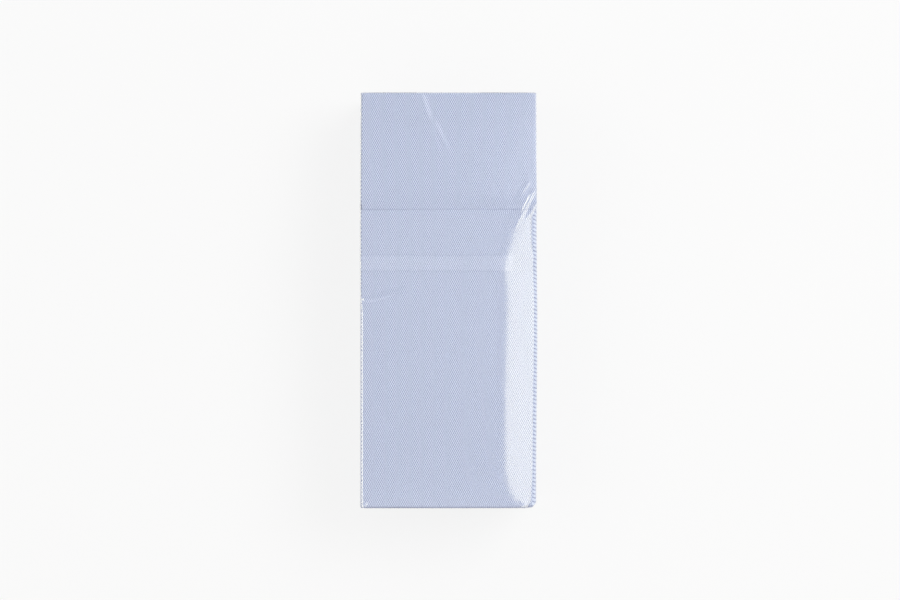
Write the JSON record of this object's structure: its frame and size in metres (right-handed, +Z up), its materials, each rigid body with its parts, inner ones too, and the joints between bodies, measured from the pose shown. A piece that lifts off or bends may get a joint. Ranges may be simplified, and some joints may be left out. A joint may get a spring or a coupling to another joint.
{
  "type": "film-wrapped pack of cutlery pouch napkins",
  "caption": "Clear film pack of folded pale blue airlaid napkins, each with a hemmed front pocket for cutlery. It lies flat as one sealed block.",
  "frame": {"origin": "middle of the underside, where the pack rests", "axes": "+Z up through the stack, +Y along the napkins towards their open end, +X to the right across them"},
  "size_m": [0.0848, 0.2002, 0.0508],
  "materials": {
    "film": "clear glossy film",
    "airlaid": "soft embossed airlaid paper"
  },
  "bodies": {
    "root": {"film_wrap": "film", "napkin_01": "airlaid", "napkin_02": "airlaid", "napkin_03": "airlaid", "napkin_04": "airlaid", "napkin_05": "airlaid", "napkin_06": "airlaid", "napkin_07": "airlaid", "napkin_08": "airlaid", "napkin_09": "airlaid", "napkin_10": "airlaid", "napkin_11": "airlaid", "napkin_12": "airlaid", "napkin_13": "airlaid", "napkin_14": "airlaid", "napkin_15": "airlaid", "napkin_16": "airlaid", "napkin_17": "airlaid", "napkin_18": "airlaid", "napkin_19": "airlaid", "napkin_20": "airlaid"}
  },
  "joints": []
}
